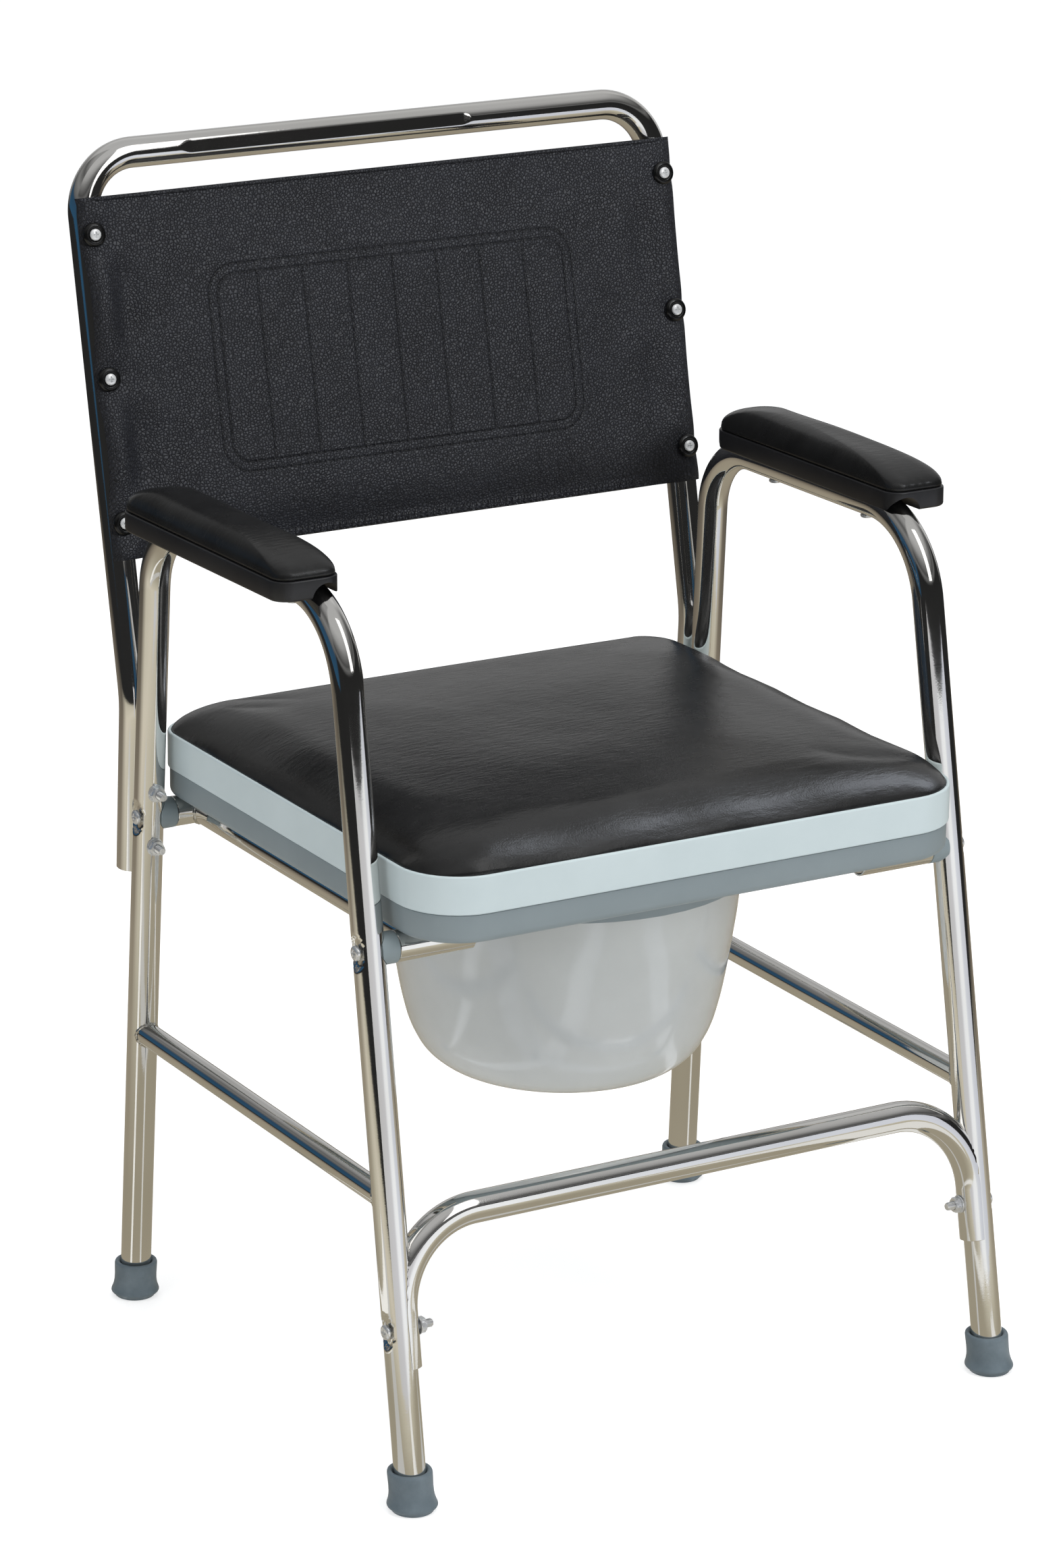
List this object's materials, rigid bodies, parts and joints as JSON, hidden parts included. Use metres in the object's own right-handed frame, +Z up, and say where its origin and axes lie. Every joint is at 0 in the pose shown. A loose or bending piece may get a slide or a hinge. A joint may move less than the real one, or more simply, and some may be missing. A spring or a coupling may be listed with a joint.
{
  "type": "commode chair",
  "caption": "Chromed tube commode chair with reclined back panel, padded armrests, lift-off padded seat and a removable pail under it.",
  "frame": {"origin": "on the floor, under the middle of the chair's bounding box", "axes": "+X to the right of a person facing the chair, the front of the chair faces -Y, +Z up"},
  "size_m": [0.541, 0.527, 0.8521],
  "materials": {
    "chrome": "mirror chrome plate on bent steel tube, warm grey reflections",
    "zinc": "bright zinc-plated screws, bolts and nuts",
    "rubber": "blue-grey moulded rubber, slightly shiny",
    "plug_plastic": "light grey moulded plastic",
    "black_plastic": "black moulded plastic, satin",
    "seat_vinyl": "black smooth satin vinyl over foam",
    "back_leatherette": "black pebbled leatherette with stitched channels",
    "tray_plastic": "mid-grey moulded plastic",
    "shell_plastic": "pale grey moulded plastic",
    "pail_plastic": "pale grey semi-translucent glossy plastic"
  },
  "bodies": {
    "frame": {"side_frame_left": "chrome", "side_stretcher_left": "chrome", "front_stub_left": "chrome", "seat_rail_left": "chrome", "foot_front_left": "rubber", "tube_plug_front_left": "plug_plastic", "seat_bolt_front_left": "zinc", "arm_screw_left_front": "zinc", "foot_rear_left": "rubber", "tube_plug_rear_left": "plug_plastic", "seat_bolt_rear_left": "zinc", "arm_screw_left_rear": "zinc", "back_bolt_left_upper": "zinc", "back_nut_left_upper": "zinc", "back_bolt_left_lower": "zinc", "back_nut_left_lower": "zinc", "back_washer_left_lower": "black_plastic", "back_screw_left_lower": "zinc", "back_washer_left_middle": "black_plastic", "back_screw_left_middle": "zinc", "back_washer_left_upper": "black_plastic", "back_screw_left_upper": "zinc", "stretcher_bolt_left": "zinc", "stretcher_nut_left": "zinc", "arm_base_left": "black_plastic", "arm_pad_left": "seat_vinyl", "side_frame_right": "chrome", "side_stretcher_right": "chrome", "front_stub_right": "chrome", "seat_rail_right": "chrome", "foot_front_right": "rubber", "tube_plug_front_right": "plug_plastic", "seat_bolt_front_right": "zinc", "arm_screw_right_front": "zinc", "foot_rear_right": "rubber", "tube_plug_rear_right": "plug_plastic", "seat_bolt_rear_right": "zinc", "arm_screw_right_rear": "zinc", "back_bolt_right_upper": "zinc", "back_nut_right_upper": "zinc", "back_bolt_right_lower": "zinc", "back_nut_right_lower": "zinc", "back_washer_right_lower": "black_plastic", "back_screw_right_lower": "zinc", "back_washer_right_middle": "black_plastic", "back_screw_right_middle": "zinc", "back_washer_right_upper": "black_plastic", "back_screw_right_upper": "zinc", "stretcher_bolt_right": "zinc", "stretcher_nut_right": "zinc", "arm_base_right": "black_plastic", "arm_pad_right": "seat_vinyl", "back_frame": "chrome", "front_stretcher": "chrome", "rear_cross_tube": "chrome", "back_panel": "back_leatherette", "commode_seat": "tray_plastic"},
    "padded_seat": {"seat_shell": "shell_plastic", "seat_cushion": "seat_vinyl"},
    "pail": {"pail": "pail_plastic"}
  },
  "joints": [
    {"name": "seat_lift", "type": "slide", "parent": "frame", "child": "padded_seat", "axis": [0, -0.1392, 0.9903], "range_m": [0, 0.3]},
    {"name": "pail_lift", "type": "slide", "parent": "frame", "child": "pail", "axis": [0, 0, 1], "range_m": [0, 0.21]}
  ],
  "couplings": [
    {"joint": "pail_lift", "follows": "seat_lift", "ratio": 0.7}
  ]
}
